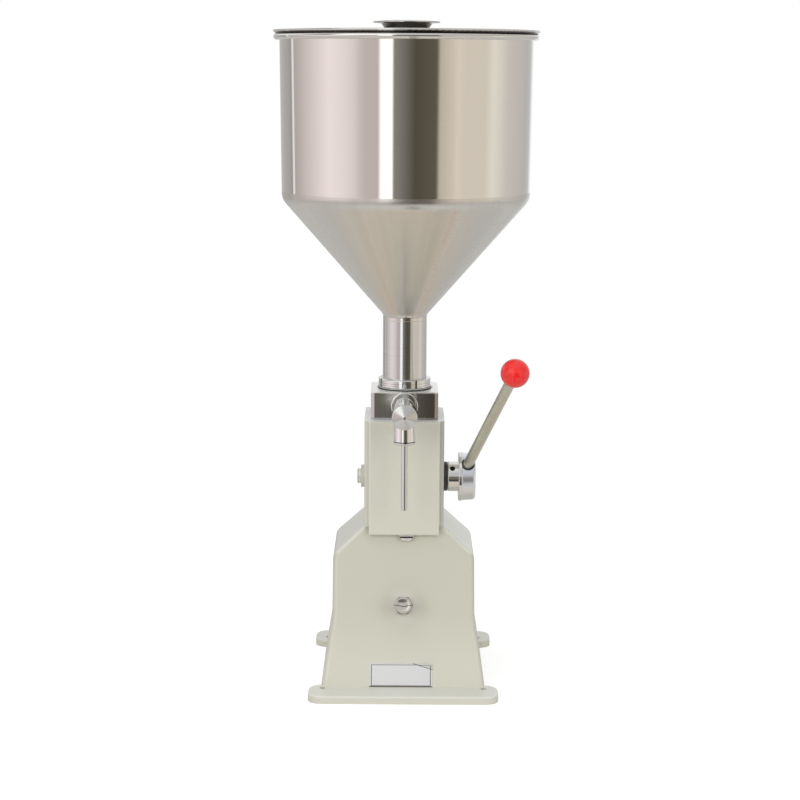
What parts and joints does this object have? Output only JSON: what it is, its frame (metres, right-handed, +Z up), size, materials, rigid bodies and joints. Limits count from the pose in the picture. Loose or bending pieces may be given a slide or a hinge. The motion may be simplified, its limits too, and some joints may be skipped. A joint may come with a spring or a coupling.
{
  "type": "manual liquid filling machine",
  "caption": "Hand-levered piston filler: a conical hopper with a lid over a valve block, a spring-valved outlet with a thin nozzle, and a side lever on a hollow cast stand.",
  "frame": {"origin": "middle of the four foot holes on the underside of the stand, straight under the hopper", "axes": "+X to the right, on the lever's side; -Y to the front, where the nozzle is; +Z up"},
  "size_m": [0.3024, 0.3432, 0.762],
  "materials": {
    "paint": "gloss",
    "stainless": "satin",
    "polished": "polished",
    "zinc": "dull plated",
    "dull_steel": "dull",
    "black_steel": "blackened",
    "bronze": "turned",
    "red": "gloss",
    "seal": "matt",
    "foil": "satin"
  },
  "bodies": {
    "frame": {"stand_casting": "paint", "housing_casting": "paint", "rear_cover": "paint", "rear_cover_screws": "zinc", "housing_screws": "zinc", "block_screws": "zinc", "adjusting_lock_nut": "zinc", "clamp_bolt": "zinc", "blank_plate": "foil", "valve_block": "stainless", "cylinder_liner": "stainless", "liner_gasket": "seal", "rod_guide_bush": "bronze", "left_bush": "bronze", "right_bush": "black_steel", "inlet_seat": "stainless", "inlet_spring": "stainless", "outlet_union": "polished", "outlet_body": "polished", "outlet_end_cap": "polished", "outlet_spring": "stainless", "nozzle_cap": "polished", "nozzle_tube": "polished", "hopper_neck": "stainless", "hopper_cone": "stainless", "hopper_cylinder": "stainless", "neck_collar": "polished", "hopper_gasket": "seal"},
    "lever": {"handle_shaft": "polished", "pinion": "zinc", "pinion_key": "zinc", "shaft_end_screw": "polished", "handle_hub": "polished", "hub_set_screw": "black_steel", "handle_rod": "dull_steel", "ball_knob": "red"},
    "piston_rod": {"piston": "stainless", "piston_seals": "seal", "rack_rod": "stainless", "volume_stop_cone": "zinc", "volume_lock_nut": "zinc"},
    "lid_set": {"lid": "stainless", "lid_knob": "polished", "lid_knob_screw": "stainless"},
    "inlet_valve": {"inlet_valve_disc": "stainless", "inlet_stem_nut": "stainless"},
    "outlet_valve": {"outlet_check_ball": "polished"},
    "volume_screw": {"adjusting_bolt": "zinc"}
  },
  "joints": [
    {"name": "lever_turn", "type": "hinge", "parent": "frame", "child": "lever", "pos_m": [0, -0.019, 0.24], "axis": [1, 0, 0], "range_deg": [-42, 63]},
    {"name": "piston_stroke", "type": "slide", "parent": "frame", "child": "piston_rod", "axis": [0, 0, 1], "range_m": [-0.0103, 0.0155]},
    {"name": "lid_lift", "type": "slide", "parent": "frame", "child": "lid_set", "axis": [0, 0, 1], "range_m": [0, 0.12]},
    {"name": "inlet_opening", "type": "slide", "parent": "frame", "child": "inlet_valve", "axis": [0, 0, -1], "range_m": [0, 0.004], "stiffness_N_per_m": 400, "springref_m": -0.004, "deforming": ["inlet_spring"]},
    {"name": "outlet_opening", "type": "slide", "parent": "frame", "child": "outlet_valve", "axis": [0, -1, 0], "range_m": [0, 0.003], "stiffness_N_per_m": 400, "springref_m": -0.003, "deforming": ["outlet_spring"]},
    {"name": "volume_setting", "type": "slide", "parent": "frame", "child": "volume_screw", "axis": [0, -0.9527, 0.3038], "range_m": [0, 0.008]}
  ],
  "couplings": [
    {"joint": "piston_stroke", "follows": "lever_turn", "m_per_rad": 0.014}
  ]
}
